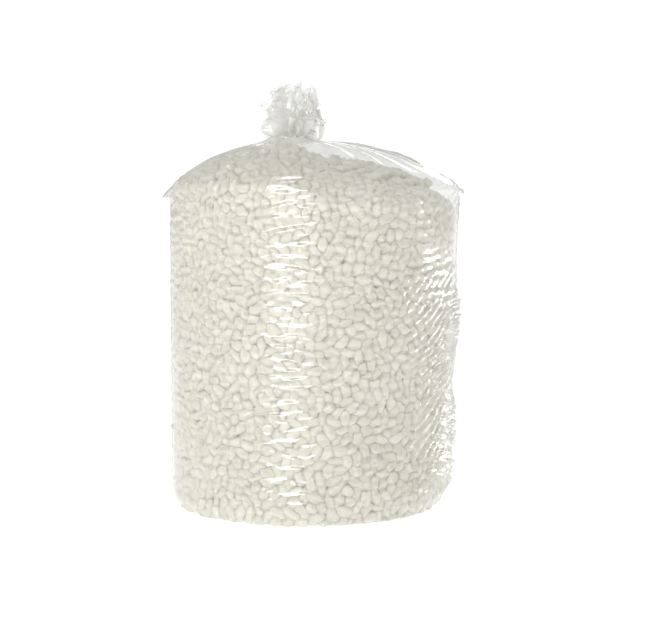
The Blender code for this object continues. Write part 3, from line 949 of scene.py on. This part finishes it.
def ruffle_film():
    """The loose end of the tube above the tie: deep pleats, crumpled and opened out."""
    rise = np.linspace(0.0, 1.0, RUFFLE_ROWS)[:, None]
    angle = directions(RUFFLE_SIDES)[None, :]
    ridge = pleat_ridges(rise, angle)
    reach = ruffle_spread(rise, angle, ridge)
    twist = field(RUFFLE_SHAPE, *TWIST_FIELD) - 0.5
    turn = angle + PLEAT_TWIST * twist * smooth_step(TWIST_RISE * rise)
    lean = RUFFLE_LEAN * rise ** 2
    grid = np.stack([NECK_OFFSET + lean + reach * np.cos(turn), reach * np.sin(turn),
                     ruffle_heights(rise, angle, ridge)], axis=2)
    crumple(grid, rise)
    rest = link_lengths(grid)
    held = grid[:HELD_RUFFLE_ROWS].copy()
    for _ in range(RUFFLE_ROUNDS):
        grid = relax_step(grid, rest, RUFFLE_EVENING)
        grid[:HELD_RUFFLE_ROWS] = held
    grid[..., 2] = np.minimum(grid[..., 2], NECK_TOP + RUFFLE_HEIGHT)
    return grid


def grid_mesh(name, grid, closed_foot):
    """A smooth mesh of four-sided faces on a grid that closes round the bag."""
    rows, sides = grid.shape[:2]
    mesh = bpy.data.meshes.new(name)
    low = np.arange(rows - 1)[:, None] * sides
    here = np.arange(sides)[None, :]
    after = (here + 1) % sides
    quads = np.stack([low + here, low + after, low + sides + after, low + sides + here], axis=2)
    faces = quads.reshape(-1, 4).tolist()
    if closed_foot:
        faces.append(list(reversed(range(sides))))
    mesh.from_pydata(grid.reshape(-1, 3).tolist(), [], faces)
    mesh.shade_smooth()
    return mesh


def film_haze(grid):
    """How milky the film looks: a little more from left to right, and most where it is gathered."""
    across = (grid[..., 0] - SHOULDER_LEAN) / SHOULDER_RADIUS
    wall = FRONT_HAZE + (LEFT_HAZE - FRONT_HAZE) * smooth_step(-LEFT_HAZE_GAIN * across)
    wall = wall + (RIGHT_HAZE - FRONT_HAZE) * smooth_step(RIGHT_HAZE_GAIN * across - RIGHT_HAZE_CUT)
    out = np.hypot(grid[..., 0] - NECK_OFFSET, grid[..., 1])
    gathered = smooth_step(1.0 - out / GATHERED_RADIUS) * (grid[..., 2] > SHOULDER_HEIGHT)
    return wall + (NECK_HAZE - wall) * gathered


def film_piece(name, grid, closed_foot, material):
    """A piece of film that carries its haze."""
    mesh = grid_mesh(name, grid, closed_foot)
    point_attribute(mesh, "haze", "FLOAT", film_haze(grid))
    mesh.materials.append(material)
    return add_piece(name, mesh)


def new_material(name):
    """A material and its node tree under construction."""
    material = bpy.data.materials.new(name)
    material.use_nodes = True
    return material, Tree(material.node_tree)


def set_surface(build, values):
    """Sets or links inputs of a material's Principled shader."""
    shader = build.tree.nodes["Principled BSDF"]
    for name, value in values.items():
        build.put(shader, name, value)


def film_material():
    """Thin clear film: see-through, glossy towards its edges, milky where it is gathered."""
    material, build = new_material("clear_film")
    material.node_tree.nodes.clear()
    place = build.node("ShaderNodeTexCoord").outputs["Object"]
    fine = build.node("ShaderNodeTexNoise", Vector=place, Scale=120.0, Detail=3.0, Roughness=0.55)
    bump = build.node("ShaderNodeBump", Strength=0.06, Distance=0.002, Height=fine.outputs[0])
    clear = build.node("ShaderNodeBsdfTransparent", Color=FILM_TINT)
    gloss = build.node("ShaderNodeBsdfGlossy", Color=WHITE, Roughness=0.14, Normal=bump)
    facing = build.node("ShaderNodeLayerWeight", Blend=0.5, Normal=bump).outputs["Facing"]
    grazing = build.combine("MULTIPLY", build.combine("POWER", facing, EDGE_GLOSS_POWER), EDGE_GLOSS)
    share = build.combine("ADD", grazing, GLOSS_SHARE)
    sheen = build.node("ShaderNodeMixShader", i0=share, i1=clear, i2=gloss)
    front = build.node("ShaderNodeBsdfDiffuse", Color=MILK_COLOUR)
    through = build.node("ShaderNodeBsdfTranslucent", Color=MILK_COLOUR)
    milk = build.node("ShaderNodeMixShader", i0=0.5, i1=front, i2=through)
    clouds = build.node("ShaderNodeTexNoise", Vector=place, Scale=14.0, Detail=2.0)
    haze = build.node("ShaderNodeAttribute", {"attribute_name": "haze"}).outputs["Fac"]
    cloudy = build.combine("MULTIPLY", haze, build.combine("ADD", clouds.outputs[0], 0.5))
    film = build.node("ShaderNodeMixShader", i0=cloudy, i1=sheen, i2=milk)
    build.node("ShaderNodeOutputMaterial", Surface=film)
    return material


def foam_material():
    """Soft pale foam that light enters, with fine pits; each peanut has a tone of its own."""
    material, build = new_material("peanut_foam")
    place = build.node("ShaderNodeTexCoord").outputs["Object"]
    tone = build.node("ShaderNodeAttribute", {"attribute_name": "tone"}).outputs["Fac"]
    ramp = build.node("ShaderNodeValToRGB", Fac=tone)
    ramp.color_ramp.elements[0].color = FOAM_DARK
    ramp.color_ramp.elements[1].color = FOAM_PALE
    skin = build.node("ShaderNodeTexNoise", Vector=place, Scale=190.0, Detail=4.0)
    bump = build.node("ShaderNodeBump", Strength=0.5, Distance=0.001, Height=skin.outputs[0])
    set_surface(build, {"Base Color": ramp.outputs[0], "Normal": bump, "Roughness": 0.8,
                        "Subsurface Weight": 1.0, "Subsurface Radius": FOAM_DEPTH,
                        "Subsurface Scale": 0.012})
    return material


def tie_material():
    """Matt white plastic of the wire tie, with faint flecks and pits."""
    material, build = new_material("tie_plastic")
    place = build.node("ShaderNodeTexCoord").outputs["Object"]
    flecks = build.node("ShaderNodeTexNoise", Vector=place, Scale=260.0, Detail=3.0)
    ramp = build.node("ShaderNodeValToRGB", Fac=flecks.outputs[0])
    ramp.color_ramp.elements[0].color = TIE_DARK
    ramp.color_ramp.elements[1].color = TIE_PALE
    pits = build.node("ShaderNodeBump", Strength=0.3, Distance=0.0004, Height=flecks.outputs[0])
    sheen = build.node("ShaderNodeMapRange", i0=flecks.outputs[0], i3=0.36, i4=0.56)
    set_surface(build, {"Base Color": ramp.outputs[0], "Normal": pits, "Roughness": sheen.outputs[0]})
    return material


def floor_material():
    """The studio floor: matt, and with a glow that hides the horizon."""
    material, build = new_material("pale_floor")
    set_surface(build, {"Base Color": FLOOR_COLOUR, "Roughness": 0.9,
                        "Emission Color": WHITE, "Emission Strength": FLOOR_GLOW})
    return material


def turn_towards(direction):
    """The rotation in which a lamp or a camera looks that way."""
    return direction.to_track_quat("-Z", "Y").to_euler()


def add_light(name, place, aim, size, power):
    """A rectangular lamp at a place, aimed at a point."""
    light = bpy.data.lights.new(name, "AREA")
    light.shape = "RECTANGLE"
    light.size, light.size_y = size
    light.energy = power
    item = add_piece(name, light)
    item.location = place
    item.rotation_euler = turn_towards(Vector(aim) - Vector(place))


def add_world():
    """A white backdrop for the camera, and a dimmer white for all other rays."""
    world = bpy.data.worlds.new("studio")
    world.use_nodes = True
    build = Tree(world.node_tree)
    world.node_tree.nodes.clear()
    seen = build.node("ShaderNodeLightPath").outputs["Is Camera Ray"]
    backdrop = build.node("ShaderNodeBackground", Color=WHITE, Strength=BACKDROP_STRENGTH)
    lit = build.node("ShaderNodeBackground", Color=WHITE, Strength=WORLD_STRENGTH)
    mix = build.node("ShaderNodeMixShader", i0=seen, i1=lit, i2=backdrop)
    build.node("ShaderNodeOutputWorld", Surface=mix)
    bpy.context.scene.world = world


def add_studio():
    """Backdrop, lights and floor."""
    add_world()
    for light in LIGHTS:
        add_light(*light)
    floor = bpy.data.meshes.new("studio_floor")
    half = FLOOR_HALF
    floor.from_pydata([(-half, -half, 0), (half, -half, 0), (half, half, 0), (-half, half, 0)],
                      [], [(0, 1, 2, 3)])
    floor.materials.append(floor_material())
    add_piece("studio_floor", floor)


def add_camera():
    """The photograph's view: far off, a little above, with the bag's axis left of the middle."""
    camera = bpy.data.cameras.new("camera")
    camera.sensor_width = SENSOR_WIDTH
    camera.lens = SENSOR_WIDTH * CAMERA_DISTANCE / (IMAGE_WIDTH * METRES_PER_PIXEL)
    aim = Vector(((0.5 * IMAGE_WIDTH - AXIS_COLUMN) * METRES_PER_PIXEL, 0.0,
                  (FLOOR_ROW - 0.5 * IMAGE_HEIGHT) * METRES_PER_PIXEL))
    back = Vector((0.0, -math.cos(CAMERA_ELEVATION), math.sin(CAMERA_ELEVATION)))
    item = add_piece("camera", camera)
    item.location = aim + back * CAMERA_DISTANCE
    item.rotation_euler = turn_towards(-back)
    bpy.context.scene.camera = item


def tie_piece(node):
    """The wire tie, made from its solid and rounded."""
    tie = add_piece("twist_tie", node.data.copy())
    work = bmesh.new()
    work.from_mesh(tie.data)
    bmesh.ops.remove_doubles(work, verts=work.verts, dist=MERGE_DISTANCE)
    work.to_mesh(tie.data)
    work.free()
    tie.modifiers.new("round", "SUBSURF").levels = 1
    graph = bpy.context.evaluated_depsgraph_get()
    smooth = bpy.data.meshes.new_from_object(tie.evaluated_get(graph))
    tie.modifiers.clear()
    tie.data = smooth
    smooth.shade_smooth()
    smooth.materials.clear()
    smooth.materials.append(tie_material())
    return tie


def all_peanuts(loose):
    """One piece for each form: four forms packed in the heap, and the loose peanuts on it."""
    foam = foam_material()
    tree = peanut_tree()
    fixed_centres, fixed_axes = loose_places([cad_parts[name] for name in loose])
    centres, axes = settle_peanuts(fixed_centres, fixed_axes)
    rng = np.random.default_rng(FORM_SEED)
    loose_form = len(FORMS) - 1
    kind = rng.integers(0, loose_form, len(centres))
    kind[:len(loose)] = loose_form
    pieces = []
    for number, (name, form) in enumerate(FORMS.items()):
        chosen = kind == number
        points = peanut_points(name + "_points", centres[chosen], axes[chosen], rng)
        pieces.append(peanuts_piece(name, tree, foam, points, form))
    return pieces


def main():
    """Sets up the studio, makes each piece, hides the solids it takes the place of and parents it to the
    root body.
    """
    bpy.context.scene.view_settings.view_transform = "Standard"
    add_camera()
    add_studio()
    loose = sorted(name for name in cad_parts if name.startswith("peanut_") and name != "peanut_fill")
    pieces = all_peanuts(loose)
    clear = film_material()
    film = film_piece("clear_bag", main_film(pieces), True, clear)
    ruffle = film_piece("bag_ruffle", ruffle_film(), False, clear)
    tie = tie_piece(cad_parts["neck_tie"])
    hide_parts("neck_tie")
    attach(tie, "root")
    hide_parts("peanut_fill")
    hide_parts(*loose)
    for piece in pieces:
        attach(piece, "root")
    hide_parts("film_bag")
    for piece in (film, ruffle):
        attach(piece, "root")


main()
bpy.context.view_layer.update()
